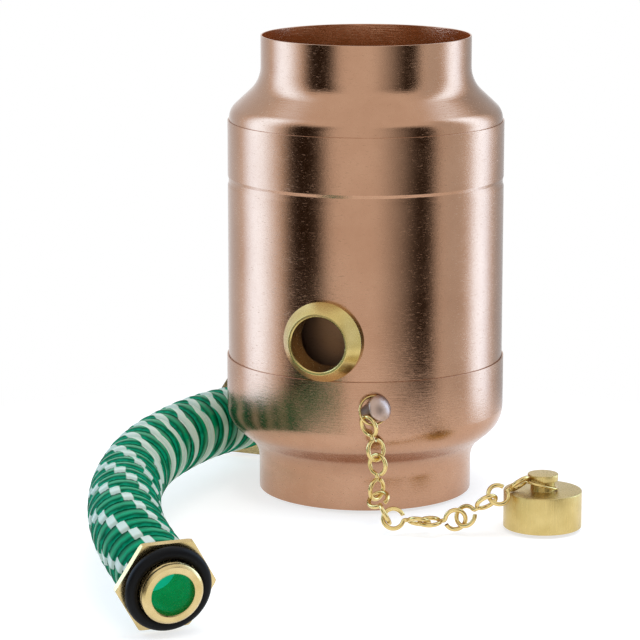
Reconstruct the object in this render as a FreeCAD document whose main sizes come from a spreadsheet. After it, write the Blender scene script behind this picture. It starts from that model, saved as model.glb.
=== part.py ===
"""Rainwater diverter for a copper downpipe, with its plug cap on a chain and its hose.

Millimetres, +Z up. The origin is the centre of the lower rim, where the
downpipe below goes on. The hose outlet points along -Y. The hose stands
beside the body, unscrewed, with one end fitting on each end.
"""
import FreeCAD
import Part
import math
import os

import Sketcher
from FreeCAD import Placement, Rotation, Vector

os.makedirs("parts", exist_ok=True)
doc = FreeCAD.newDocument("rainwater_diverter")

# sizes
# Driving sizes: alias, value in mm (or degrees), what it is.
DRIVING = [
    ("sheet_wall", "0.7", "thickness of the copper sheet"),
    ("solder_gap", "0.05", "gap between two sheets that are soldered"),
    ("neck_od", "100", "outside of the upper neck"),
    ("lower_neck_od", "102.4", "outside of the lower neck"),
    ("tube_od", "131.7", "outside of the main tube"),
    ("rim_height", "219", "upper rim above the lower rim"),
    ("tube_top", "178.8", "upper edge of the main tube"),
    ("tube_foot", "48", "lower edge of the main tube"),
    ("socket_top", "65.3", "upper edge of the lower reducer's socket"),
    ("upper_shoulder", "183.4", "where the upper cone meets the skirt"),
    ("upper_cone_angle", "47", "upper cone from the vertical"),
    ("upper_neck_round", "16", "round from the neck to the upper cone"),
    ("upper_shoulder_round", "8.5", "round from the upper cone to the skirt"),
    ("lower_shoulder", "33.9", "where the socket meets the lower cone"),
    ("lower_cone_angle", "50", "lower cone from the vertical"),
    ("lower_neck_round", "14", "round from the lower cone to the neck"),
    ("lower_shoulder_round", "15", "round from the socket to the lower cone"),
    ("bead_height", "150", "middle of the rolled stop bead"),
    ("bead_depth", "0.45", "depth of the rolled stop bead"),
    ("bead_half_width", "2.4", "half the width of the bead at the tube"),
    ("bead_half_floor", "0.8", "half the width of the bead's floor"),
    ("overflow_foot", "3", "lower edge of the overflow pipe"),
    ("overflow_top", "128", "edge that the surplus water runs over"),
    ("overflow_lip", "1.6", "width of the lip rolled on the overflow pipe"),
    ("thread_minor", "24.1", "bore of the female pipe thread"),
    ("thread_major", "26.44", "outside of the male pipe thread"),
    ("bush_flange_od", "37.5", "flange of the outlet bush"),
    ("bush_edge", "2.4", "edge of the flange, from the crown of the tube"),
    ("bush_nose", "6.9", "height of the conical nose over the flange"),
    ("bush_nose_od", "28.6", "tip of the conical nose"),
    ("bush_shank_od", "30.6", "shank that goes through the tube's wall"),
    ("bush_inside", "6.5", "length of the shank inside the tube's crown"),
    ("hole_clearance", "0.15", "round the shank in the tube's wall"),
    ("stud_shank_od", "8.8", "shank of the chain stud"),
    ("stud_head_od", "12.2", "head of the chain stud"),
    ("stud_shank", "6", "from the shell to the underside of the head"),
    ("stud_edge", "0.9", "straight edge of the stud's head"),
    ("stud_dome", "2.7", "height of the stud's dome"),
    ("stud_height", "51.6", "where the stud's axis meets the shell"),
    ("stud_bearing", "19.5", "where the stud stands, degrees from -Y towards +X"),
    ("stud_lean", "37", "stud turned sideways from the radius"),
    ("stud_rise", "24", "stud raised from the level"),
    ("ring_wire", "1.1", "wire of both rings"),
    ("stud_ring_mean", "13.1", "mean diameter of the ring on the stud"),
    ("cap_ring_mean", "17.0", "mean diameter of the ring on the cap"),
    ("link_wire", "2", "wire of the chain"),
    ("link_eye", "4.7", "mean radius of a link's eye"),
    ("link_neck", "1.25", "mean radius of the bend between stem and eye"),
    ("link_stem", "0.2", "straight stem between the two eyes"),
    ("link_play", "0.15", "play where two links meet"),
    ("cap_od", "36.1", "outside of the plug cap"),
    ("cap_height", "17.1", "height of the plug cap"),
    ("knob_neck_od", "11.2", "neck of the cap's knob"),
    ("knob_neck", "4.7", "length of the knob's neck"),
    ("knob_od", "14.1", "head of the cap's knob"),
    ("knob_head", "3.0", "height of the knob's head"),
    ("cap_rim", "0.8", "width of the cap's lower rim"),
    ("cap_recess", "6", "depth of the coned recess round the spigot"),
    ("spigot_wall", "3", "wall of the cap's hollow spigot"),
    ("spigot_bore_depth", "13", "depth of the hollow in the spigot"),
    ("cap_seal_section", "1.4", "height of the sealing ring in the cap"),
    ("hex_flats", "37.8", "across the flats of the hose fitting"),
    ("hex_length", "3", "thickness of the hexagon"),
    ("hex_chamfer", "0.6", "turned chamfer on the hexagon's corners"),
    ("nipple_length", "9", "length of the threaded nipple"),
    ("nipple_chamfer", "1.1", "chamfer on the nipple's end"),
    ("nipple_relief", "0.5", "depth of the relief behind the thread"),
    ("relief_run", "0.1", "relief that shows past the black sealing ring"),
    ("fitting_bore", "18.6", "bore at the nipple's end"),
    ("fitting_bore_depth", "6", "depth of that bore"),
    ("fitting_bore_step", "0.9", "step to the wider bore behind it"),
    ("tail_length", "14", "tail that the hose is pushed over"),
    ("oring_section", "5.2", "section of the black sealing ring"),
    ("oring_play", "0.2", "play between ring and nipple"),
    ("hose_od", "32.3", "outside of the hose"),
    ("hose_id", "24.8", "inside of the hose"),
    ("hose_play", "0.1", "play of the hose on the tail and at the hexagon"),
]

# Worked out from the driving sizes: alias, formula.
DERIVED = [
    ("neck_radius", "=neck_od / 2"),
    ("neck_inner", "=neck_radius - sheet_wall"),
    ("tube_radius", "=tube_od / 2"),
    ("tube_inner", "=tube_radius - sheet_wall"),
    ("skirt_radius", "=tube_inner - solder_gap"),
    ("skirt_inner", "=skirt_radius - sheet_wall"),
    ("socket_inner", "=tube_radius + solder_gap"),
    ("socket_radius", "=socket_inner + sheet_wall"),
    ("lower_neck_radius", "=lower_neck_od / 2"),
    ("lower_neck_inner", "=lower_neck_radius - sheet_wall"),
    ("upper_offset", "=sheet_wall * tan(upper_cone_angle / 2 * 1 deg)"),
    ("lower_offset", "=sheet_wall * tan(lower_cone_angle / 2 * 1 deg)"),
    ("upper_bend", "=upper_shoulder + (skirt_radius - neck_radius) / tan(upper_cone_angle * 1 deg)"),
    ("upper_bend_inner", "=upper_bend - upper_offset"),
    ("upper_shoulder_inner", "=upper_shoulder - upper_offset"),
    ("lower_bend", "=lower_shoulder - (socket_radius - lower_neck_radius) / tan(lower_cone_angle * 1 deg)"),
    ("lower_bend_inner", "=lower_bend + lower_offset"),
    ("lower_shoulder_inner", "=lower_shoulder + lower_offset"),
    ("bead_top", "=bead_height + bead_half_width"),
    ("bead_foot", "=bead_height - bead_half_width"),
    ("bead_floor_top", "=bead_height + bead_half_floor"),
    ("bead_floor_foot", "=bead_height - bead_half_floor"),
    ("bead_radius", "=tube_radius - bead_depth"),
    ("bead_inner", "=tube_inner - bead_depth"),
    ("skirt_foot", "=bead_top + solder_gap"),
    ("overflow_radius", "=lower_neck_inner - solder_gap"),
    ("overflow_inner", "=overflow_radius - sheet_wall"),
    ("overflow_lip_radius", "=overflow_radius + overflow_lip"),
    ("overflow_lip_foot", "=overflow_top - sheet_wall"),
    ("bore_radius", "=thread_minor / 2"),
    ("thread_radius", "=thread_major / 2"),
    ("flange_radius", "=bush_flange_od / 2"),
    ("outlet_height", "=socket_top + flange_radius + solder_gap"),
    ("flange_back", "=tube_radius - 5"),
    ("flange_front", "=tube_radius + bush_edge"),
    ("nose_tip", "=flange_front + bush_nose"),
    ("nose_radius", "=bush_nose_od / 2"),
    ("mouth_depth", "=nose_tip - (thread_radius - bore_radius)"),
    ("shank_radius", "=bush_shank_od / 2"),
    ("shank_end", "=tube_radius - bush_inside"),
    ("shank_root", "=tube_radius + bush_edge / 2"),
    ("hole_radius", "=shank_radius + hole_clearance"),
    ("stud_radius", "=stud_shank_od / 2"),
    ("stud_head_radius", "=stud_head_od / 2"),
    ("stud_root", "=stud_shank_od"),
    ("stud_under", "=stud_root + stud_shank"),
    ("stud_rim", "=stud_under + stud_edge"),
    ("stud_tip", "=stud_rim + stud_dome"),
    ("cap_radius", "=cap_od / 2"),
    ("cap_rim_inner", "=cap_radius - cap_rim"),
    ("knob_neck_radius", "=knob_neck_od / 2"),
    ("knob_radius", "=knob_od / 2"),
    ("knob_under", "=cap_height + knob_neck"),
    ("knob_top", "=knob_under + knob_head"),
    ("spigot_bore", "=thread_radius - spigot_wall"),
    ("recess_root", "=nose_radius + 0.2"),
    ("seal_seat", "=cap_recess - cap_seal_section"),
    ("hex_corner", "=hex_flats / 2 / cos(30 deg)"),
    ("hex_turned", "=hex_corner - hex_chamfer"),
    ("hex_front", "=tail_length + hex_length"),
    ("hex_turned_low", "=tail_length + hex_chamfer * tan(30 deg)"),
    ("hex_turned_high", "=hex_front - hex_chamfer * tan(30 deg)"),
    ("hex_outside", "=hex_corner + 2"),
    ("nipple_end", "=hex_front + nipple_length"),
    ("nipple_chamfer_start", "=nipple_end - nipple_chamfer"),
    ("nipple_tip_radius", "=thread_radius - nipple_chamfer"),
    ("relief_radius", "=thread_radius - nipple_relief"),
    ("relief_end", "=hex_front + oring_section + relief_run"),
    ("fitting_bore_radius", "=fitting_bore / 2"),
    ("fitting_wide_radius", "=fitting_bore_radius + fitting_bore_step"),
    ("fitting_bore_foot", "=nipple_end - fitting_bore_depth"),
    ("fitting_wide_top", "=fitting_bore_foot - fitting_bore_step"),
    ("mouth_chamfer", "=nipple_end - 0.6"),
    ("mouth_radius", "=fitting_bore_radius + 0.6"),
    ("tail_radius", "=hose_id / 2 - hose_play"),
    ("past_nipple", "=nipple_end + 2"),
]

sheet = doc.addObject("Spreadsheet::Sheet", "Sizes")
row = 1
for alias, value, note in DRIVING:
    sheet.set("A%d" % row, note)
    sheet.set("B%d" % row, value)
    sheet.setAlias("B%d" % row, alias)
    row += 1
doc.recompute()
for alias, formula in DERIVED:
    sheet.set("B%d" % row, formula)
    sheet.setAlias("B%d" % row, alias)
    doc.recompute()
    row += 1


def size(alias):
    """The present value of one size of the sheet."""
    value = getattr(sheet, alias)
    return float(getattr(value, "Value", value))


def origin_plane(body, role):
    """One of a body's own origin planes or axes, found by its role."""
    for feature in body.Origin.OriginFeatures:
        if feature.Role == role:
            return feature
    raise ValueError(role)


def new_body(name):
    body = doc.addObject("PartDesign::Body", name)
    body.Label = name
    return body


def new_sketch(body, name, role="XZ_Plane"):
    sketch = body.newObject("Sketcher::SketchObject", name)
    sketch.AttachmentSupport = [(origin_plane(body, role), "")]
    sketch.MapMode = "FlatFace"
    return sketch


def bind_point(sketch, geo, pos, across, up):
    """Hold one point at two sizes of the sheet; None keeps it on the axis."""
    if across is None:
        sketch.addConstraint(Sketcher.Constraint("PointOnObject", geo, pos, -2))
    else:
        index = sketch.addConstraint(
            Sketcher.Constraint("DistanceX", -1, 1, geo, pos, size(across)))
        sketch.setExpression("Constraints[%d]" % index, "Sizes." + across)
    if up is None:
        sketch.addConstraint(Sketcher.Constraint("PointOnObject", geo, pos, -1))
    else:
        index = sketch.addConstraint(
            Sketcher.Constraint("DistanceY", -1, 1, geo, pos, size(up)))
        sketch.setExpression("Constraints[%d]" % index, "Sizes." + up)


def section(sketch, corners):
    """A closed outline of straight edges through named corners."""
    spots = []
    for across, up in corners:
        spots.append(Vector(size(across) if across else 0, size(up) if up else 0, 0))
    count = len(spots)
    for i in range(count):
        sketch.addGeometry(Part.LineSegment(spots[i], spots[(i + 1) % count]), False)
    for i in range(count):
        sketch.addConstraint(Sketcher.Constraint("Coincident", i, 2, (i + 1) % count, 1))
    for i, (across, up) in enumerate(corners):
        bind_point(sketch, i, 1, across, up)


def revolve(body, sketch, kind="PartDesign::Revolution"):
    """A full turn of a sketch about its own upright axis."""
    turned = body.newObject(kind, sketch.Name + "_turned")
    turned.Profile = sketch
    turned.ReferenceAxis = (sketch, ["V_Axis"])
    turned.Angle = 360.0
    sketch.Visibility = False
    doc.recompute()
    return turned


def rim_edges(shape, radius, height):
    """Names of the round edges of one radius at one height."""
    names = []
    for number, edge in enumerate(shape.Edges, start=1):
        curve = edge.Curve
        if not isinstance(curve, Part.Circle):
            continue
        if abs(curve.Radius - radius) < 0.01 and abs(curve.Center.z - height) < 0.01:
            names.append("Edge%d" % number)
    return names


def round_rim(body, name, radius, height, round_size, expression):
    """Round one circular edge of the body's last feature."""
    base = body.Tip
    fillet = body.newObject("PartDesign::Fillet", name)
    fillet.Base = (base, rim_edges(base.Shape, radius, height))
    fillet.Radius = round_size
    fillet.setExpression("Radius", expression)
    doc.recompute()
    return fillet


# upper reducer
# Drawn copper cone with its neck. Its skirt is pushed into the main tube,
# down to the rolled bead, and soldered.
upper = new_body("upper_reducer")
upper_section = new_sketch(upper, "upper_reducer_section")
section(upper_section, [
    ("neck_radius", "rim_height"),
    ("neck_radius", "upper_bend"),
    ("skirt_radius", "upper_shoulder"),
    ("skirt_radius", "skirt_foot"),
    ("skirt_inner", "skirt_foot"),
    ("skirt_inner", "upper_shoulder_inner"),
    ("neck_inner", "upper_bend_inner"),
    ("neck_inner", "rim_height"),
])
revolve(upper, upper_section)
round_rim(upper, "upper_neck_outer", size("neck_radius"), size("upper_bend"),
          size("upper_neck_round"), "Sizes.upper_neck_round")
round_rim(upper, "upper_neck_inner", size("neck_inner"), size("upper_bend_inner"),
          size("upper_neck_round") + size("sheet_wall"),
          "Sizes.upper_neck_round + Sizes.sheet_wall")
round_rim(upper, "upper_skirt_outer", size("skirt_radius"), size("upper_shoulder"),
          size("upper_shoulder_round"), "Sizes.upper_shoulder_round")
round_rim(upper, "upper_skirt_inner", size("skirt_inner"), size("upper_shoulder_inner"),
          size("upper_shoulder_round") - size("sheet_wall"),
          "Sizes.upper_shoulder_round - Sizes.sheet_wall")

# main tube
# Rolled copper tube with a shallow bead as a stop, and one hole for the bush.
tube = new_body("main_tube")
tube_section = new_sketch(tube, "main_tube_section")
section(tube_section, [
    ("tube_radius", "tube_top"),
    ("tube_radius", "bead_top"),
    ("bead_radius", "bead_floor_top"),
    ("bead_radius", "bead_floor_foot"),
    ("tube_radius", "bead_foot"),
    ("tube_radius", "tube_foot"),
    ("tube_inner", "tube_foot"),
    ("tube_inner", "bead_foot"),
    ("bead_inner", "bead_floor_foot"),
    ("bead_inner", "bead_floor_top"),
    ("tube_inner", "bead_top"),
    ("tube_inner", "tube_top"),
])
revolve(tube, tube_section)
whole_volume = tube.Shape.Volume
hole_sketch = new_sketch(tube, "outlet_hole_sketch")
hole_sketch.addGeometry(
    Part.Circle(Vector(0, size("outlet_height"), 0), Vector(0, 0, 1), size("hole_radius")), False)
hole_sketch.addConstraint(Sketcher.Constraint("PointOnObject", 0, 3, -2))
index = hole_sketch.addConstraint(
    Sketcher.Constraint("DistanceY", -1, 1, 0, 3, size("outlet_height")))
hole_sketch.setExpression("Constraints[%d]" % index, "Sizes.outlet_height")
index = hole_sketch.addConstraint(Sketcher.Constraint("Radius", 0, size("hole_radius")))
hole_sketch.setExpression("Constraints[%d]" % index, "Sizes.hole_radius")
outlet_hole = tube.newObject("PartDesign::Pocket", "outlet_hole")
outlet_hole.Profile = hole_sketch
outlet_hole.Length = size("tube_od")
outlet_hole.setExpression("Length", "Sizes.tube_od")
outlet_hole.Reversed = True
doc.recompute()
if tube.Shape.BoundBox.YMin < -size("tube_radius") + 1 and whole_volume - tube.Shape.Volume < 1:
    raise RuntimeError("the outlet hole cuts nothing")

# lower reducer
# Drawn copper cone. Its socket goes over the main tube and its neck into
# the downpipe below.
lower = new_body("lower_reducer")
lower_section = new_sketch(lower, "lower_reducer_section")
section(lower_section, [
    ("socket_radius", "socket_top"),
    ("socket_radius", "lower_shoulder"),
    ("lower_neck_radius", "lower_bend"),
    ("lower_neck_radius", None),
    ("lower_neck_inner", None),
    ("lower_neck_inner", "lower_bend_inner"),
    ("socket_inner", "lower_shoulder_inner"),
    ("socket_inner", "socket_top"),
])
revolve(lower, lower_section)
round_rim(lower, "lower_shoulder_outer", size("socket_radius"), size("lower_shoulder"),
          size("lower_shoulder_round"), "Sizes.lower_shoulder_round")
round_rim(lower, "lower_shoulder_inner_round", size("socket_inner"),
          size("lower_shoulder_inner"),
          size("lower_shoulder_round") - size("sheet_wall"),
          "Sizes.lower_shoulder_round - Sizes.sheet_wall")
round_rim(lower, "lower_neck_outer", size("lower_neck_radius"), size("lower_bend"),
          size("lower_neck_round"), "Sizes.lower_neck_round")
round_rim(lower, "lower_neck_inner_round", size("lower_neck_inner"),
          size("lower_bend_inner"),
          size("lower_neck_round") + size("sheet_wall"),
          "Sizes.lower_neck_round + Sizes.sheet_wall")

# overflow pipe
# Stands in the lower neck and makes a trough round itself. The trough fills
# the hose; what is too much runs over the lip and down the pipe.
overflow = new_body("overflow_pipe")
overflow_section = new_sketch(overflow, "overflow_pipe_section")
section(overflow_section, [
    ("overflow_radius", "overflow_foot"),
    ("overflow_radius", "overflow_lip_foot"),
    ("overflow_lip_radius", "overflow_lip_foot"),
    ("overflow_lip_radius", "overflow_top"),
    ("overflow_inner", "overflow_top"),
    ("overflow_inner", "overflow_foot"),
])
revolve(overflow, overflow_section)

# outlet bush
# Turned brass: a flange saddled on the tube, a conical nose, a shank through
# the wall and a female pipe thread. Local +Z is the outlet's axis.
bush = new_body("outlet_bush")
bush_section = new_sketch(bush, "outlet_bush_section")
section(bush_section, [
    ("bore_radius", "flange_back"),
    ("flange_radius", "flange_back"),
    ("flange_radius", "flange_front"),
    ("nose_radius", "nose_tip"),
    ("thread_radius", "nose_tip"),
    ("bore_radius", "mouth_depth"),
])
revolve(bush, bush_section)
saddle = bush.newObject("PartDesign::SubtractiveCylinder", "bush_saddle")
saddle.AttachmentSupport = [(origin_plane(bush, "XZ_Plane"), "")]
saddle.MapMode = "FlatFace"
saddle.AttachmentOffset = Placement(Vector(0, 0, -size("bush_flange_od")), Rotation())
saddle.setExpression("Radius", "Sizes.tube_radius + Sizes.solder_gap")
saddle.setExpression("Height", "2 * Sizes.bush_flange_od")
doc.recompute()
shank_section = new_sketch(bush, "bush_shank_section")
section(shank_section, [
    ("bore_radius", "shank_end"),
    ("shank_radius", "shank_end"),
    ("shank_radius", "shank_root"),
    ("bore_radius", "shank_root"),
])
revolve(bush, shank_section)
bush.Placement = Placement(Vector(0, 0, size("outlet_height")), Rotation(Vector(1, 0, 0), 90))
bush.setExpression("Placement.Base.z", "Sizes.outlet_height")

# chain stud
# Domed copper stud, soldered to the lower reducer's socket at a slant.
stud_blank = new_body("stud_blank")
stud_section = new_sketch(stud_blank, "stud_section")
dome_radius = (size("stud_head_radius") ** 2 + size("stud_dome") ** 2) / (2 * size("stud_dome"))
dome_middle = size("stud_tip") - dome_radius
dome_start = math.atan2(size("stud_rim") - dome_middle, size("stud_head_radius"))
stud_corners = [
    (None, None),
    ("stud_radius", None),
    ("stud_radius", "stud_under"),
    ("stud_head_radius", "stud_under"),
    ("stud_head_radius", "stud_rim"),
    (None, "stud_tip"),
]
spots = [Vector(size(a) if a else 0, size(b) if b else 0, 0) for a, b in stud_corners]
for i in range(4):
    stud_section.addGeometry(Part.LineSegment(spots[i], spots[i + 1]), False)
dome = Part.ArcOfCircle(
    Part.Circle(Vector(0, dome_middle, 0), Vector(0, 0, 1), dome_radius),
    dome_start, math.pi / 2)
stud_section.addGeometry(dome, False)
stud_section.addGeometry(Part.LineSegment(spots[5], spots[0]), False)
for i in range(3):
    stud_section.addConstraint(Sketcher.Constraint("Coincident", i, 2, i + 1, 1))
stud_section.addConstraint(Sketcher.Constraint("Coincident", 3, 2, 4, 1))
stud_section.addConstraint(Sketcher.Constraint("Coincident", 4, 2, 5, 1))
stud_section.addConstraint(Sketcher.Constraint("Coincident", 5, 2, 0, 1))
stud_section.addConstraint(Sketcher.Constraint("PointOnObject", 4, 3, -2))
for i in range(5):
    bind_point(stud_section, i, 1, *stud_corners[i])
bind_point(stud_section, 5, 1, *stud_corners[5])
revolve(stud_blank, stud_section)

bearing = math.radians(size("stud_bearing"))
stud_foot = Vector(size("socket_radius") * math.sin(bearing),
                   -size("socket_radius") * math.cos(bearing), size("stud_height"))
heading = math.radians(size("stud_bearing") + size("stud_lean"))
rise = math.radians(size("stud_rise"))
stud_axis = Vector(math.sin(heading) * math.cos(rise),
                   -math.cos(heading) * math.cos(rise), math.sin(rise))
stud_blank.Placement = Placement(stud_foot - stud_axis * size("stud_root"),
                                 Rotation(Vector(0, 0, 1), stud_axis))

shell_tool = doc.addObject("Part::Cylinder", "shell_tool")
shell_tool.setExpression("Radius", "Sizes.socket_radius + Sizes.solder_gap")
shell_tool.setExpression("Height", "Sizes.tube_top")
stud = doc.addObject("Part::Cut", "chain_stud")
stud.Label = "chain_stud"
stud.Base = stud_blank
stud.Tool = shell_tool

# stud ring
# Thin brass ring hung on the stud; it lies back from the stud's own slant.
ring_bearing = math.radians(37)
ring_rise = math.radians(12)
ring_axis = Vector(math.sin(ring_bearing) * math.cos(ring_rise),
                   -math.cos(ring_bearing) * math.cos(ring_rise), math.sin(ring_rise))
ring_side = Vector(math.cos(ring_bearing), math.sin(ring_bearing), 0)
ring_up = ring_axis.cross(ring_side)
ring_slack = (size("stud_ring_mean") - size("ring_wire")) / 2 - size("stud_radius")
ring_centre = (stud_foot + stud_axis * (size("stud_shank") * 0.547)
               - ring_side * (ring_slack * 0.77) - ring_up * (ring_slack * 0.125))
stud_ring = doc.addObject("Part::Torus", "stud_ring")
stud_ring.Label = "stud_ring"
stud_ring.setExpression("Radius1", "Sizes.stud_ring_mean / 2")
stud_ring.setExpression("Radius2", "Sizes.ring_wire / 2")
stud_ring.Placement = Placement(ring_centre, Rotation(Vector(0, 0, 1), ring_axis))

# chain link
# Jack chain: one wire, a stem with an eye at each end, the two eyes a
# quarter turn apart, each eye closed back on its own neck.
wire_radius = size("link_wire") / 2
eye = size("link_eye")
neck = size("link_neck")
stem = size("link_stem") / 2
neck_turn = math.acos(neck / (neck + eye))
eye_height = stem + (neck + eye) * math.sin(neck_turn)
eye_gap = math.radians(64)
link_length = 2 * (eye_height + eye)


def eye_edges(side, up):
    """Neck bend and eye of one end; side and up are the eye's own axes."""
    def at(across, height):
        return side * across + up * height

    start = at(0, stem)
    bend_mid = at(-neck * (1 - math.cos(neck_turn / 2)), stem + neck * math.sin(neck_turn / 2))
    bend_end = at(-neck * (1 - math.cos(neck_turn)), stem + neck * math.sin(neck_turn))
    first = math.pi + neck_turn
    last = -eye_gap
    middle = (first + last) / 2
    eye_mid = at(eye * math.cos(middle), eye_height + eye * math.sin(middle))
    eye_end = at(eye * math.cos(last), eye_height + eye * math.sin(last))
    return [Part.Arc(start, bend_mid, bend_end).toShape(),
            Part.Arc(bend_end, eye_mid, eye_end).toShape()]


top_eye = eye_edges(Vector(1, 0, 0), Vector(0, 0, 1))
low_eye = eye_edges(Vector(0, 1, 0), Vector(0, 0, -1))
stem_edge = Part.LineSegment(Vector(0, 0, stem), Vector(0, 0, -stem)).toShape()
link_path = Part.Wire([top_eye[1], top_eye[0], stem_edge, low_eye[0], low_eye[1]])
free_end = top_eye[1].valueAt(top_eye[1].LastParameter)
free_way = top_eye[1].tangentAt(top_eye[1].LastParameter)
link_section = Part.Wire([Part.Circle(free_end, free_way, wire_radius).toShape()])
link_shape = link_path.makePipeShell([link_section], True, False)

# the chain's lay
# Each link's bearing from +X, rise and roll, in degrees, from the stud to the
# cap. Where the rise is None, the link leans down until its end is on the floor.
CHAIN_LAY = [
    (24, -74, 216),
    (-1, -92, 248),
    (-57, None, 331),
    (12, -5, 300),
    (24, 3, 355),
    (7, 37, 124),
    (46, 19, 310),
]
floor_height = eye * math.sin(math.radians(45)) + wire_radius + 0.05
reach = wire_radius + size("ring_wire") / 2 + size("link_play")
hook_angle = math.radians(244)
hook_point = ring_centre + (ring_side * math.cos(hook_angle)
                            + ring_up * math.sin(hook_angle)) * (size("stud_ring_mean") / 2)
ring_line = Part.Wire([Part.Circle(ring_centre, ring_axis, size("stud_ring_mean") / 2).toShape()])
low_line = Part.Wire([low_eye[0], low_eye[1]])


def direction(bearing_deg, rise_deg):
    b = math.radians(bearing_deg)
    r = math.radians(rise_deg)
    return Vector(math.cos(b) * math.cos(r), math.sin(b) * math.cos(r), math.sin(r))


def drawn_tight(held, moving, way, slack, taut, clearance):
    """How far the moving line goes along a way before it meets the held one."""
    def clear_at(along):
        trial = moving.copy()
        trial.translate(way * along)
        return held.distToShape(trial)[0] >= clearance

    back = (taut - slack) / 16
    free = taut
    while free > slack and not clear_at(free):
        taut = free
        free -= back
    for step in range(10):
        middle = (free + taut) / 2
        if clear_at(middle):
            free = middle
        else:
            taut = middle
    return free


way = None
link_low = None
held_line = ring_line
for number, (bearing_deg, rise_deg, roll_deg) in enumerate(CHAIN_LAY, start=1):
    if rise_deg is None:
        drop = floor_height - link_low.z
        lean_sine = drop / (link_length - 2 * wire_radius)
        rise_deg = math.degrees(math.asin(max(-1, min(1, lean_sine))))
    new_way = direction(bearing_deg, rise_deg)
    level = Vector(-math.sin(math.radians(bearing_deg)), math.cos(math.radians(bearing_deg)), 0)
    local_z = new_way * -1
    local_x = Rotation(local_z, roll_deg).multVec(level)
    local_y = local_z.cross(local_x)
    turn = Rotation(local_x, local_y, local_z, "ZXY")
    if way is None:
        pull = new_way
        eye_from = hook_point
        play = reach
        limits = (-0.1 * size("link_wire"), 0.9 * size("link_wire"))
    else:
        pull = (way + new_way).normalize()
        eye_from = link_low - way * eye
        play = 2 * wire_radius + size("link_play")
        limits = (2 * eye - 2.2 * size("link_wire"), 2 * eye - 0.95 * size("link_wire"))
    moving = link_path.copy()
    moving.Placement = Placement(eye_from + new_way * eye_height, turn)
    eye_middle = eye_from + pull * drawn_tight(held_line, moving, pull, *limits, play)
    place = Placement(eye_middle + new_way * eye_height, turn)
    link = doc.addObject("Part::Feature", "chain_link_%d" % number)
    link.Label = "chain_link_%d" % number
    link.Shape = link_shape.copy()
    link.Placement = place
    held_line = low_line.copy()
    held_line.Placement = place
    way = new_way
    link_low = place.Base + way * (link_length / 2)

# cap ring
# Brass ring round the neck of the cap's knob. Its far side rests on the cap
# and its near side is held up by the last link.
cap_ring_radius = size("cap_ring_mean") / 2
cap_level = Vector(way.x, way.y, 0).normalize()
ring_hook = link_low - way * (reach + 0.12)
ring_rest = size("cap_height") + size("ring_wire") / 2 + 0.12
ring_tilt = math.asin((ring_hook.z - ring_rest) / size("cap_ring_mean"))
ring_out = Vector(0, 0, math.sin(ring_tilt)) - cap_level * math.cos(ring_tilt)
cap_ring_centre = ring_hook - ring_out * cap_ring_radius
cap_ring_axis = ring_out.cross(cap_level.cross(Vector(0, 0, 1))).normalize()
cap_ring = doc.addObject("Part::Torus", "cap_ring")
cap_ring.Label = "cap_ring"
cap_ring.setExpression("Radius1", "Sizes.cap_ring_mean / 2")
cap_ring.setExpression("Radius2", "Sizes.ring_wire / 2")
cap_ring.Placement = Placement(cap_ring_centre, Rotation(Vector(0, 0, 1), cap_ring_axis))
ring_far = cap_ring_centre - ring_out * cap_ring_radius
knob_reach = size("knob_neck_radius") + size("ring_wire") / 2 + 0.12
cap_place = Vector(ring_far.x, ring_far.y, 0) - cap_level * knob_reach

# plug cap
# Turned brass. A coned recess fits the bush's nose and a
# hollow spigot carries the male thread. It stands on the floor.
cap = new_body("plug_cap")
cap_section = new_sketch(cap, "plug_cap_section")
section(cap_section, [
    ("cap_radius", None),
    ("cap_radius", "cap_height"),
    ("knob_neck_radius", "cap_height"),
    ("knob_neck_radius", "knob_under"),
    ("knob_radius", "knob_under"),
    ("knob_radius", "knob_top"),
    (None, "knob_top"),
    (None, "spigot_bore_depth"),
    ("spigot_bore", "spigot_bore_depth"),
    ("spigot_bore", None),
    ("thread_radius", None),
    ("thread_radius", "cap_recess"),
    ("recess_root", "cap_recess"),
    ("recess_root", "seal_seat"),
    ("cap_rim_inner", None),
])
revolve(cap, cap_section)
cap.Placement = Placement(cap_place, Rotation())

# Flat sealing ring at the root of the recess.
cap_seal = new_body("cap_seal")
seal_sketch = new_sketch(cap_seal, "cap_seal_section_sketch")
section(seal_sketch, [
    ("thread_radius", "seal_seat"),
    ("recess_root", "seal_seat"),
    ("recess_root", "cap_recess"),
    ("thread_radius", "cap_recess"),
])
revolve(cap_seal, seal_sketch)
cap_seal.Placement = Placement(cap_place, Rotation())

# hose route
# From the near fitting's hexagon, past the body's left, to the far fitting.
HOSE_ROUTE = [
    (-10.0, -249.3, 19.4),
    (-29.5, -226.0, 24.3),
    (-44.8, -201.4, 27.3),
    (-58.0, -172.0, 28.3),
    (-73.5, -128.0, 26.2),
    (-82.3, -81.5, 27.0),
    (-81.4, -34.0, 26.4),
    (-78.4, 7.2, 23.8),
    (-75.1, 39.4, 19.3),
]


def tangent_path(route):
    """Straight runs joined by arcs as large as the two runs allow."""
    knots = [Vector(*spot) for spot in route]
    edges = []
    radii = []
    start = knots[0]
    for i in range(1, len(knots) - 1):
        before = knots[i] - knots[i - 1]
        after = knots[i + 1] - knots[i]
        turn = before.getAngle(after)
        reach_back = 0.45 * min(before.Length, after.Length)
        radii.append(reach_back / math.tan(turn / 2))
        back = Vector(before).normalize()
        ahead = Vector(after).normalize()
        first = knots[i] - back * reach_back
        last = knots[i] + ahead * reach_back
        inward = (ahead - back).normalize()
        sagitta = radii[-1] * (1 / math.cos(turn / 2) - 1)
        edges.append(Part.LineSegment(start, first).toShape())
        edges.append(Part.Arc(first, knots[i] + inward * sagitta, last).toShape())
        start = last
    edges.append(Part.LineSegment(start, knots[-1]).toShape())
    return Part.Wire(edges), radii


def pipe(path, spot, along, radius):
    ring = Part.Wire([Part.Circle(spot, along, radius).toShape()])
    return path.makePipeShell([ring], True, False)


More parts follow.
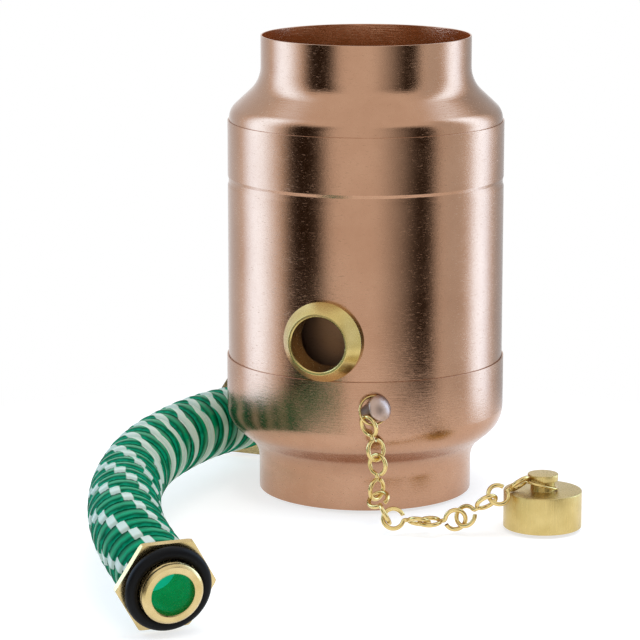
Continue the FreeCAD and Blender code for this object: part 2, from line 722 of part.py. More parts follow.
hose_path, hose_radii = tangent_path(HOSE_ROUTE)
hose_start = Vector(*HOSE_ROUTE[0])
hose_end = Vector(*HOSE_ROUTE[-1])
near_way = (hose_start - Vector(*HOSE_ROUTE[1])).normalize()
far_way = (hose_end - Vector(*HOSE_ROUTE[-2])).normalize()
hose = doc.addObject("Part::Feature", "hose")
hose.Label = "hose"
hose.Shape = pipe(hose_path, hose_start, near_way, size("hose_od") / 2).cut(
    pipe(hose_path, hose_start, near_way, size("hose_id") / 2))
hose_section = math.pi * (size("hose_od") ** 2 - size("hose_id") ** 2) / 4
print("hose length %.1f mm, arcs %s" % (hose_path.Length, [round(r) for r in hose_radii]))
print("hose volume %.0f, section x length %.0f"
      % (hose.Shape.Volume, hose_section * hose_path.Length))


# hose fittings
# Turned brass from hexagon bar: a tail inside the hose, a thin hexagon, and a
# nipple with the male pipe thread. Local +Z points out of the nipple.
def hexagon_pad(body, name):
    sketch = new_sketch(body, name + "_hexagon", "XY_Plane")
    sketch.AttachmentOffset = Placement(Vector(0, 0, size("tail_length")), Rotation())
    sketch.setExpression("AttachmentOffset.Base.z", "Sizes.tail_length")
    corner = size("hex_corner")
    points = [Vector(corner * math.cos(math.radians(60 * i)),
                     corner * math.sin(math.radians(60 * i)), 0) for i in range(6)]
    for i in range(6):
        sketch.addGeometry(Part.LineSegment(points[i], points[(i + 1) % 6]), False)
    for i in range(6):
        sketch.addConstraint(Sketcher.Constraint("Coincident", i, 2, (i + 1) % 6, 1))
    sketch.addGeometry(Part.Circle(Vector(0, 0, 0), Vector(0, 0, 1), corner), True)
    sketch.addConstraint(Sketcher.Constraint("Coincident", 6, 3, -1, 1))
    for i in range(6):
        sketch.addConstraint(Sketcher.Constraint("PointOnObject", i, 1, 6))
    for i in range(5):
        sketch.addConstraint(Sketcher.Constraint("Equal", i, i + 1))
    sketch.addConstraint(Sketcher.Constraint("PointOnObject", 0, 1, -1))
    index = sketch.addConstraint(Sketcher.Constraint("Radius", 6, corner))
    sketch.setExpression("Constraints[%d]" % index, "Sizes.hex_corner")
    pad = body.newObject("PartDesign::Pad", name + "_hexagon_pad")
    pad.Profile = sketch
    pad.Length = size("hex_length")
    pad.setExpression("Length", "Sizes.hex_length")
    sketch.Visibility = False
    doc.recompute()


def hose_fitting(name, spot, outward):
    body = new_body(name)
    hexagon_pad(body, name)
    front = new_sketch(body, name + "_front_chamfer")
    section(front, [
        ("hex_turned", "hex_front"),
        ("hex_outside", "hex_front"),
        ("hex_outside", "hex_turned_high"),
        ("hex_corner", "hex_turned_high"),
    ])
    revolve(body, front, "PartDesign::Groove")
    back = new_sketch(body, name + "_back_chamfer")
    section(back, [
        ("hex_turned", "tail_length"),
        ("hex_outside", "tail_length"),
        ("hex_outside", "hex_turned_low"),
        ("hex_corner", "hex_turned_low"),
    ])
    revolve(body, back, "PartDesign::Groove")
    nipple = new_sketch(body, name + "_nipple")
    section(nipple, [
        (None, None),
        ("tail_radius", None),
        ("tail_radius", "hex_turned_low"),
        ("relief_radius", "hex_turned_low"),
        ("relief_radius", "relief_end"),
        ("thread_radius", "relief_end"),
        ("thread_radius", "nipple_chamfer_start"),
        ("nipple_tip_radius", "nipple_end"),
        (None, "nipple_end"),
    ])
    revolve(body, nipple)
    solid_volume = body.Shape.Volume
    bore = new_sketch(body, name + "_bore")
    section(bore, [
        (None, "past_nipple"),
        ("mouth_radius", "past_nipple"),
        ("mouth_radius", "nipple_end"),
        ("fitting_bore_radius", "mouth_chamfer"),
        ("fitting_bore_radius", "fitting_bore_foot"),
        ("fitting_wide_radius", "fitting_wide_top"),
        ("fitting_wide_radius", None),
        (None, None),
    ])
    revolve(body, bore, "PartDesign::Groove")
    if solid_volume - body.Shape.Volume < 1000:
        raise RuntimeError(name + ": the bore cuts nothing")
    level = Vector(-outward.y, outward.x, 0).normalize()
    tail = size("tail_length") - size("hose_play")
    body.Placement = Placement(spot - outward * tail,
                               Rotation(level, outward.cross(level), outward, "ZXY"))
    ring = doc.addObject("Part::Torus", name + "_seal")
    ring.Label = name + "_seal"
    ring.setExpression(
        "Radius1", "Sizes.thread_radius + Sizes.oring_play + Sizes.oring_section / 2")
    ring.setExpression("Radius2", "Sizes.oring_section / 2")
    seat = size("hex_front") - tail + size("oring_section") / 2
    ring.Placement = Placement(spot + outward * seat,
                               Rotation(Vector(0, 0, 1), outward))


hose_fitting("near_fitting", hose_start, near_way)
hose_fitting("far_fitting", hose_end, far_way)

# check and write
doc.recompute()
NODES = ["upper_reducer", "main_tube", "lower_reducer", "overflow_pipe", "outlet_bush",
         "chain_stud", "stud_ring"]
NODES += ["chain_link_%d" % (i + 1) for i in range(len(CHAIN_LAY))]
NODES += ["cap_ring", "plug_cap", "cap_seal", "hose", "near_fitting", "near_fitting_seal",
          "far_fitting", "far_fitting_seal"]
for item in doc.Objects:
    if "Invalid" in item.State or "Error" in item.State:
        raise RuntimeError("%s did not build: %s" % (item.Label, item.State))
for label in NODES:
    item = doc.getObjectsByLabel(label)[0]
    shape = item.Shape
    if shape.isNull() or not shape.isValid() or not shape.Solids:
        raise RuntimeError("%s has no valid solid" % label)
    shape.exportStep("parts/%s.step" % label)
print("cap at", cap_place, "nodes", len(NODES))
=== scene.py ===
"""Rainwater diverter: copper body, brass outlet and fittings, cap on a chain, ribbed hose."""
import math

import bmesh
import bpy
import numpy as np
from mathutils import Matrix, Vector


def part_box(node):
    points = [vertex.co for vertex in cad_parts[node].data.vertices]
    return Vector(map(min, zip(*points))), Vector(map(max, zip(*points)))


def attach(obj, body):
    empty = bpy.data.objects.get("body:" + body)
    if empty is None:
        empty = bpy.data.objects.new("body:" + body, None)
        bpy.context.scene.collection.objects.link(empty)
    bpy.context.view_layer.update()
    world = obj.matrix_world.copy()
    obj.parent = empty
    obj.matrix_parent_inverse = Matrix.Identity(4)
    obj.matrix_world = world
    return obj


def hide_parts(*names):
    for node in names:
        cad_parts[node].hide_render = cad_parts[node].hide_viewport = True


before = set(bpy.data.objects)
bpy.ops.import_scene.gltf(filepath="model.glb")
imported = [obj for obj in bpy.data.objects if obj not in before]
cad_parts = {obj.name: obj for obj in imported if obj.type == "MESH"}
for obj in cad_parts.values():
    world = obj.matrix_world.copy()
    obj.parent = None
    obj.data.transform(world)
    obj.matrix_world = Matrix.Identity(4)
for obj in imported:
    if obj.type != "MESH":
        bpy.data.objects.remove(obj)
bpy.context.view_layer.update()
scene = bpy.context.scene

# The camera has a long lens and stands a little above the body, to its right.
CAMERA_PLACE = Vector((0.40655, -1.33843, 0.36721))
CAMERA_TURN = math.radians(17.79)
CAMERA_TILT = math.radians(78.443)
camera_data = bpy.data.cameras.new("camera")
camera_data.lens = 166.5
camera_data.sensor_width = 36.0
camera = bpy.data.objects.new("camera", camera_data)
camera.location = CAMERA_PLACE
camera.rotation_euler = (CAMERA_TILT, 0, CAMERA_TURN)
scene.collection.objects.link(camera)
scene.camera = camera
scene.view_settings.view_transform = "Standard"


def node_tree(owner):
    """An empty shader tree, with short ways to add and join its nodes."""
    owner.use_nodes = True
    tree = owner.node_tree
    tree.nodes.clear()

    def add(kind, **settings):
        node = tree.nodes.new(kind)
        for key, value in settings.items():
            setattr(node, key, value)
        return node

    def join(source, target):
        tree.links.new(source, target)

    return add, join


# The world is white behind the object and in its reflections, and a plain
# soft light elsewhere.
world = bpy.data.worlds.new("white studio")
scene.world = world
add, join = node_tree(world)
seen = add("ShaderNodeLightPath")
first_either = add("ShaderNodeMath", operation="MAXIMUM")
either = add("ShaderNodeMath", operation="MAXIMUM")
join(seen.outputs["Is Camera Ray"], first_either.inputs[0])
join(seen.outputs["Is Glossy Ray"], first_either.inputs[1])
join(first_either.outputs[0], either.inputs[0])
join(seen.outputs["Is Transmission Ray"], either.inputs[1])
soft_light = add("ShaderNodeBackground")
soft_light.inputs["Color"].default_value = (1, 1, 1, 1)
soft_light.inputs["Strength"].default_value = 0.8
white_field = add("ShaderNodeBackground")
white_field.inputs["Color"].default_value = (1, 1, 1, 1)
white_field.inputs["Strength"].default_value = 1.0
pick = add("ShaderNodeMixShader")
join(either.outputs[0], pick.inputs["Fac"])
join(soft_light.outputs[0], pick.inputs[1])
join(white_field.outputs[0], pick.inputs[2])
out = add("ShaderNodeOutputWorld")
join(pick.outputs[0], out.inputs["Surface"])

# The floor is a white disc that takes the object's shadow. Its edge fades
# into the white behind it.
FLOOR_RADIUS = 0.29
FLOOR_MIDDLE = (0.0, -0.06, -0.0016)
floor_mesh = bpy.data.meshes.new("floor")
builder = bmesh.new()
bmesh.ops.create_circle(builder, cap_ends=True, segments=96, radius=FLOOR_RADIUS)
builder.to_mesh(floor_mesh)
builder.free()
floor_mesh.transform(Matrix.Translation(FLOOR_MIDDLE))
floor = bpy.data.objects.new("floor", floor_mesh)
scene.collection.objects.link(floor)
floor_paint = bpy.data.materials.new("white floor")
add, join = node_tree(floor_paint)
place = add("ShaderNodeTexCoord")
from_middle = add("ShaderNodeVectorMath", operation="DISTANCE")
join(place.outputs["Object"], from_middle.inputs[0])
from_middle.inputs[1].default_value = FLOOR_MIDDLE
fade = add("ShaderNodeMapRange")
join(from_middle.outputs["Value"], fade.inputs["Value"])
fade.inputs["From Min"].default_value = FLOOR_RADIUS * 0.8
fade.inputs["From Max"].default_value = FLOOR_RADIUS
matt = add("ShaderNodeBsdfDiffuse")
matt.inputs["Color"].default_value = (0.45, 0.45, 0.45, 1)
lift = add("ShaderNodeEmission")
lift.inputs["Strength"].default_value = 0.68
both = add("ShaderNodeAddShader")
join(matt.outputs[0], both.inputs[0])
join(lift.outputs[0], both.inputs[1])
gone = add("ShaderNodeBsdfTransparent")
edge = add("ShaderNodeMixShader")
join(fade.outputs["Result"], edge.inputs["Fac"])
join(both.outputs[0], edge.inputs[1])
join(gone.outputs[0], edge.inputs[2])
out = add("ShaderNodeOutputMaterial")
join(edge.outputs[0], out.inputs["Surface"])
floor_mesh.materials.append(floor_paint)

# Tall panels stand round the object: two softboxes at its sides, two dark
# flags in front and grey walls between, which give the metal its bands.
PANEL_DISTANCE = 1.15
PANEL_MIDDLE_HEIGHT = 0.12
camera_way = Vector((CAMERA_PLACE.x, CAMERA_PLACE.y, 0)).normalized()
camera_right = Vector((math.cos(CAMERA_TURN), math.sin(CAMERA_TURN), 0))


def studio_panel(name, bearings, heights, colour, strength):
    """A curved panel that fades at its edges. bearings and heights are degrees, right of
    the camera and above the level: edge, full, full, edge."""
    columns, rows = 40, 24
    mesh = bpy.data.meshes.new(name)
    verts, fades = [], []
    for j in range(rows + 1):
        rise = heights[0] + (heights[3] - heights[0]) * j / rows
        fade_up = min(1, (rise - heights[0]) / max(1e-6, heights[1] - heights[0]),
                      (heights[3] - rise) / max(1e-6, heights[3] - heights[2]))
        for i in range(columns + 1):
            turn = bearings[0] + (bearings[3] - bearings[0]) * i / columns
            fade_across = min(1, (turn - bearings[0]) / max(1e-6, bearings[1] - bearings[0]),
                              (bearings[3] - turn) / max(1e-6, bearings[3] - bearings[2]))
            way = (camera_way * math.cos(math.radians(turn))
                   + camera_right * math.sin(math.radians(turn)))
            spot = way * PANEL_DISTANCE
            spot.z = PANEL_MIDDLE_HEIGHT + PANEL_DISTANCE * math.tan(math.radians(rise))
            verts.append(spot)
            fades.append(max(0.0, fade_up) * max(0.0, fade_across))
    faces = []
    for j in range(rows):
        for i in range(columns):
            k = j * (columns + 1) + i
            faces.append((k, k + 1, k + columns + 2, k + columns + 1))
    mesh.from_pydata(verts, [], faces)
    layer = mesh.attributes.new("fade", "FLOAT", "POINT")
    layer.data.foreach_set("value", np.array(fades, np.float32))
    paint = bpy.data.materials.new(name)
    add, join = node_tree(paint)
    read = add("ShaderNodeAttribute", attribute_name="fade")
    glow = add("ShaderNodeEmission")
    glow.inputs["Color"].default_value = colour
    glow.inputs["Strength"].default_value = strength
    clear = add("ShaderNodeBsdfTransparent")
    mix = add("ShaderNodeMixShader")
    join(read.outputs["Fac"], mix.inputs["Fac"])
    join(clear.outputs[0], mix.inputs[1])
    join(glow.outputs[0], mix.inputs[2])
    out = add("ShaderNodeOutputMaterial")
    join(mix.outputs[0], out.inputs["Surface"])
    mesh.materials.append(paint)
    panel = bpy.data.objects.new(name, mesh)
    scene.collection.objects.link(panel)
    panel.visible_camera = False
    panel.visible_shadow = False
    return panel


DAYLIGHT = (0.44, 0.67, 1.0, 1)
NEAR_BLACK = (0.030, 0.020, 0.012, 1)
GREY_WALL = (0.80, 0.84, 0.88, 1)
WALL_HEIGHTS = (-28, -24, 40, 62)
FLAG_HEIGHTS = (-30, -26, 34, 46)
studio_panel("softbox_left", (-122, -106, -94, -76), WALL_HEIGHTS, DAYLIGHT, 4.5)
studio_panel("softbox_right", (91, 101, 112, 126), WALL_HEIGHTS, DAYLIGHT, 4.8)
studio_panel("wall_right", (62, 68, 84, 91), WALL_HEIGHTS, GREY_WALL, 1.0)
studio_panel("wall_back_left", (-176, -150, -132, -122), WALL_HEIGHTS, GREY_WALL, 1.0)
studio_panel("wall_back_right", (126, 136, 160, 176), WALL_HEIGHTS, GREY_WALL, 0.72)
studio_panel("flag_left", (-75, -63, -39, -27), FLAG_HEIGHTS, NEAR_BLACK, 1.0)
studio_panel("flag_right", (8, 40, 54, 62), FLAG_HEIGHTS, NEAR_BLACK, 1.0)

# A soft overhead lamp gives the floor shadow its direction.
lamp_data = bpy.data.lights.new("overhead", "AREA")
lamp_data.shape = "DISK"
lamp_data.size = 1.0
lamp_data.energy = 9.0
lamp = bpy.data.objects.new("overhead", lamp_data)
lamp.location = (0.25, -0.25, 1.5)
aim = Vector((0, 0, 0.08)) - lamp.location
lamp.rotation_euler = aim.to_track_quat("-Z", "Y").to_euler()
lamp.visible_camera = False
lamp.visible_glossy = False
scene.collection.objects.link(lamp)

# hose
# Clear green plastic with raised ribs wound round it and six white threads
# in its wall. Each end is pushed over the tail of a brass fitting.
HOSE_ROUTE = [
    (-0.0100, -0.2493, 0.0194),
    (-0.0295, -0.2260, 0.0243),
    (-0.0448, -0.2014, 0.0273),
    (-0.0580, -0.1720, 0.0283),
    (-0.0735, -0.1280, 0.0262),
    (-0.0823, -0.0815, 0.0270),
    (-0.0814, -0.0340, 0.0264),
    (-0.0784, 0.0072, 0.0238),
    (-0.0751, 0.0394, 0.0193),
]
HOSE_RADIUS = 0.01615
HOSE_BORE = 0.0124
RIBS = 2
RIB_DEPTH = 0.0010
RIB_CREST = 0.16
THREADS = 6
# Course of the white threads: millimetres from the near end, degrees turned.
THREAD_COURSE = [
    (0, 41), (10, 48), (18, 55), (26, 63), (33, 71), (43, 80), (52, 89), (60, 101), (70, 116),
    (81, 134), (92, 152), (105, 171), (119, 192), (132, 214), (146, 239), (160, 270),
    (174, 307), (332, 797),
]
THREAD_START = 26
INNER_SIDE = 56

route_curve = bpy.data.curves.new("hose_route", "CURVE")
route_curve.dimensions = "3D"
route_curve.resolution_u = 40
spline = route_curve.splines.new("NURBS")
spline.points.add(len(HOSE_ROUTE) - 1)
for point, spot in zip(spline.points, HOSE_ROUTE):
    point.co = (*spot, 1)
spline.order_u = 3
spline.use_endpoint_u = True
route_object = bpy.data.objects.new("hose_route", route_curve)
scene.collection.objects.link(route_object)
bpy.context.view_layer.update()
line_mesh = bpy.data.meshes.new_from_object(
    route_object.evaluated_get(bpy.context.evaluated_depsgraph_get()))
centre_line = [v.co.copy() for v in line_mesh.vertices]
bpy.data.meshes.remove(line_mesh)
bpy.data.objects.remove(route_object)

run = np.array(centre_line)
steps = np.linalg.norm(np.diff(run, axis=0), axis=1)
travel = np.concatenate([[0], np.cumsum(steps)])
hose_length = float(travel[-1])
ROWS = 470
AROUND = 104
at = np.linspace(0, hose_length, ROWS)
middle = np.stack([np.interp(at, travel, run[:, k]) for k in range(3)], axis=1)
along = np.gradient(middle, axis=0)
along /= np.linalg.norm(along, axis=1)[:, None]
right = np.cross(along, (0, 0, 1.0))
right /= np.linalg.norm(right, axis=1)[:, None]
top = np.cross(right, along)
near_mm = at * 1000
# Rib number along the hose: the pitch of the two ribs opens from 9.5 to 12.2 mm.
pitch = np.interp(near_mm, (0, 60, 135, 330), (9.5, 9.5, 12.2, 12.2))
ribs_passed = np.concatenate([[0], np.cumsum(np.diff(near_mm) / ((pitch[1:] + pitch[:-1]) / 2))])
course_at, course_turn = zip(*THREAD_COURSE)
drift = np.interp(near_mm, course_at, course_turn) + THREAD_START
EASE = 12
drift = np.convolve(np.pad(drift, EASE, mode="reflect", reflect_type="odd"),
                    np.ones(2 * EASE + 1) / (2 * EASE + 1), "valid")
thread_turn_apart = 360 / THREADS
drift_per_rib = np.gradient(drift, near_mm) * pitch / thread_turn_apart
thread_share = np.interp(near_mm, (0, 60, 100, 150, 180), (0.22, 0.24, 0.28, 0.34, 0.37))
stepping = np.interp(near_mm, (0, 95, 150), (1.0, 1.0, 0.0))


def hose_wall(radius):
    """Rows of points round the hose at the radius given for each of them."""
    across = right[:, None, :] * np.cos(np.radians(turn))[None, :, None]
    upwards = top[:, None, :] * np.sin(np.radians(turn))[None, :, None]
    return middle[:, None, :] + (across + upwards) * radius[..., None]


def rib_height(rib):
    """Each rib rises steeply and falls away slowly, as overlapping turns do."""
    part = rib - np.floor(rib)
    rise = np.minimum(1, part / RIB_CREST)
    fall = np.clip((part - RIB_CREST) / (1 - RIB_CREST), 0, 1)
    return np.sin(rise * math.pi / 2) * (1 - fall ** 1.8)


# The turn round the hose is counted from the bottom, where the seam lies.
turn = np.linspace(-90, 270, AROUND + 1)
rib = ribs_passed[:, None] - RIBS * turn[None, :] / 360
outer = hose_wall(HOSE_RADIUS - RIB_DEPTH * (1 - rib_height(rib)))
inner = hose_wall(np.full_like(rib, HOSE_BORE))
# Far from the near end the threads go squarely round the underside and inner side.
held_turn = np.maximum(turn, INNER_SIDE)
towards_far = np.interp(near_mm, (110, 165), (0.0, 1.0))[:, None]
thread_turn = turn[None, :] * (1 - towards_far) + held_turn[None, :] * towards_far
thread = (thread_turn - drift[:, None]) / thread_turn_apart

hose_mesh = bpy.data.meshes.new("ribbed_hose")
wide = AROUND + 1
points = np.concatenate([outer.reshape(-1, 3), inner[::-1].reshape(-1, 3)])
grid = []
for j in range(2 * ROWS):
    following = (j + 1) % (2 * ROWS)
    for i in range(AROUND):
        grid.append((j * wide + i, j * wide + i + 1,
                     following * wide + i + 1, following * wide + i))
hose_mesh.from_pydata(points.tolist(), [], grid)


def write_layer(mesh, name, values):
    """Keep one value for each point of the mesh, for its finish to read."""
    layer = mesh.attributes.new(name, "FLOAT", "POINT")
    layer.data.foreach_set("value", np.ascontiguousarray(values, np.float32).ravel())


def whole(values):
    """One value per row, spread round the hose, for the outer and the inner wall."""
    values = np.broadcast_to(values, (ROWS, wide))
    return np.concatenate([values, values[::-1]])


write_layer(hose_mesh, "rib", whole(rib))
write_layer(hose_mesh, "thread", whole(thread))
write_layer(hose_mesh, "drift", whole((drift_per_rib * stepping)[:, None]))
write_layer(hose_mesh, "share", whole(thread_share[:, None]))
write_layer(hose_mesh, "inside", np.concatenate([np.zeros((ROWS, wide)), np.ones((ROWS, wide))]))
hose_mesh.shade_smooth()
hose_mesh.set_sharp_from_angle(angle=math.radians(50))

hose_paint = bpy.data.materials.new("green hose with white threads")
add, join = node_tree(hose_paint)


def read_layer(name):
    """The value that write_layer kept under this name."""
    return add("ShaderNodeAttribute", attribute_name=name).outputs["Fac"]


def sum_of(operation, first, second=None, third=None):
    """One step of arithmetic on numbers or on other nodes' outputs."""
    node = add("ShaderNodeMath", operation=operation)
    for socket, value in zip(node.inputs, (first, second, third)):
        if value is None:
            continue
        if isinstance(value, (int, float)):
            socket.default_value = value
        else:
            join(value, socket)
    return node.outputs[0]


rib_part = sum_of("FRACT", read_layer("rib"))
shifted = sum_of("MULTIPLY", read_layer("drift"), sum_of("SUBTRACT", 0.5, rib_part))
thread_part = sum_of("FRACT", sum_of("SUBTRACT", read_layer("thread"), shifted))
from_thread = sum_of("ABSOLUTE", sum_of("SUBTRACT", thread_part, 0.5))
half_share = sum_of("MULTIPLY", read_layer("share"), 0.5)
is_white = sum_of("MULTIPLY_ADD", sum_of("SUBTRACT", half_share, from_thread), 40.0, 0.5)
clamp = add("ShaderNodeClamp")
join(is_white, clamp.inputs["Value"])
spots = add("ShaderNodeTexCoord")
cloud = add("ShaderNodeTexNoise")
cloud.inputs["Scale"].default_value = 260.0
cloud.inputs["Detail"].default_value = 3.0
join(spots.outputs["Object"], cloud.inputs["Vector"])
# Painted light: across each rib the green runs from a painted highlight line at its edge, through
# painted shade, to a lighter middle and dark again at its far end.
rib_shading_place = sum_of("ADD", rib_part, sum_of("MULTIPLY_ADD", cloud.outputs["Fac"], 0.30, -0.12))
green = add("ShaderNodeValToRGB")
join(rib_shading_place, green.inputs["Fac"])
green.color_ramp.elements[0].position = 0.05
green.color_ramp.elements[0].color = (0.004, 0.330, 0.180, 1)
green.color_ramp.elements[1].position = 0.16
green.color_ramp.elements[1].color = (0.0002, 0.110, 0.050, 1)
for position, colour in ((0.45, (0.0003, 0.400, 0.190, 1)), (0.75, (0.0003, 0.190, 0.085, 1)),
                         (0.97, (0.0002, 0.055, 0.025, 1))):
    green.color_ramp.elements.new(position).color = colour
# Painted shade: the white threads are darker at the start of each rib.
white = add("ShaderNodeValToRGB")
join(rib_part, white.inputs["Fac"])
white.color_ramp.elements[0].position = 0.0
white.color_ramp.elements[0].color = (0.62, 0.66, 0.60, 1)
white.color_ramp.elements[1].position = 0.25
white.color_ramp.elements[1].color = (0.88, 0.87, 0.81, 1)
shade = add("ShaderNodeMix", data_type="RGBA")
join(clamp.outputs[0], shade.inputs["Factor"])
join(green.outputs["Color"], shade.inputs[6])
join(white.outputs["Color"], shade.inputs[7])
bore_shade = add("ShaderNodeMix", data_type="RGBA")
join(read_layer("inside"), bore_shade.inputs["Factor"])
join(shade.outputs[2], bore_shade.inputs[6])
bore_shade.inputs[7].default_value = (0.006, 0.56, 0.34, 1)
ripple = add("ShaderNodeBump")
ripple.inputs["Strength"].default_value = 0.25
ripple.inputs["Distance"].default_value = 0.0004
join(cloud.outputs["Fac"], ripple.inputs["Height"])
skin = add("ShaderNodeBsdfPrincipled")
join(bore_shade.outputs[2], skin.inputs["Base Color"])
skin.inputs["Roughness"].default_value = 0.08
skin.inputs["Specular IOR Level"].default_value = 0.03
# Painted light: the bore's wall glows green, an emission standing in for the light that comes
# through the plastic wall.
skin.inputs["Emission Color"].default_value = (0.012, 0.56, 0.37, 1)
join(sum_of("MULTIPLY", read_layer("inside"), 0.60), skin.inputs["Emission Strength"])
skin.inputs["IOR"].default_value = 1.5
join(ripple.outputs[0], skin.inputs["Normal"])
through = add("ShaderNodeBsdfTranslucent")
join(bore_shade.outputs[2], through.inputs["Color"])
wall = add("ShaderNodeMixShader")
wall.inputs["Fac"].default_value = 0.35
join(skin.outputs[0], wall.inputs[1])
join(through.outputs[0], wall.inputs[2])
out = add("ShaderNodeOutputMaterial")
join(wall.outputs[0], out.inputs["Surface"])
hose_mesh.materials.append(hose_paint)


def weld_seams(mesh):
    """Join the points of a mesh that lie together, so that no seam is open."""
    builder = bmesh.new()
    builder.from_mesh(mesh)
    bmesh.ops.remove_doubles(builder, verts=builder.verts, dist=1e-6)
    builder.to_mesh(mesh)
    builder.free()


hose = bpy.data.objects.new("ribbed_hose", hose_mesh)
scene.collection.objects.link(hose)
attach(hose, "root")
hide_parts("hose")

# upper reducer
# Drawn copper cone with the upper neck. Its skirt goes inside the main tube
# as far as the rolled bead and is soldered there.


def rounded_outline(corners, facets=10):
    """A closed outline in millimetres; each corner is (radius, height, round)."""
    outline = []
    count = len(corners)
    for i, (x, z, rounding) in enumerate(corners):
        here = Vector((x, z))
        before = Vector(corners[i - 1][:2])
        after = Vector(corners[(i + 1) % count][:2])
        if rounding <= 0:
            outline.append(here)
            continue
        back = (before - here).normalized()
        ahead = (after - here).normalized()
        half = back.angle(ahead) / 2
        reach = rounding / math.tan(half)
        middle = here + (back + ahead).normalized() * (rounding / math.sin(half))
        start = here + back * reach - middle
        end = here + ahead * reach - middle
        sweep = math.atan2(start.x * end.y - start.y * end.x, start.dot(end))
        for step in range(facets + 1):
            angle = sweep * step / facets
            outline.append(middle + Vector((start.x * math.cos(angle) - start.y * math.sin(angle),
                                            start.x * math.sin(angle) + start.y * math.cos(angle))))
    return [(p.x / 1000, p.y / 1000) for p in outline]


def turned(name, outline, sides=288, reshape=None, place=None, sharp=28):
    """A closed ring of the outline about +Z. reshape may move a point by its turn."""
    verts, faces = [], []
    count = len(outline)
    for i in range(sides):
        angle = 2 * math.pi * i / sides
        for k, (x, z) in enumerate(outline):
            if reshape:
                x, z = reshape(k, x, z, angle)
            verts.append((x * math.cos(angle), x * math.sin(angle), z))
    for i in range(sides):
        after = (i + 1) % sides
        for k in range(count):
            following = (k + 1) % count
            faces.append((i * count + k, after * count + k, after * count + following,
                          i * count + following))
    mesh = bpy.data.meshes.new(name)
    mesh.from_pydata(verts, [], faces)
    builder = bmesh.new()
    builder.from_mesh(mesh)
    bmesh.ops.remove_doubles(builder, verts=builder.verts, dist=1e-7)
    bmesh.ops.recalc_face_normals(builder, faces=builder.faces)
    builder.to_mesh(mesh)
    builder.free()
    if place:
        mesh.transform(place)
    mesh.shade_smooth()
    mesh.set_sharp_from_angle(angle=math.radians(sharp))
    return mesh


def add_piece(name, mesh, node, finish):
    """Put a finished mesh in the place of its CAD node."""
    piece = bpy.data.objects.new(name, mesh)
    scene.collection.objects.link(piece)
    mesh.materials.clear()
    mesh.materials.append(finish)
    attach(piece, "root")
    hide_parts(node)
    return piece


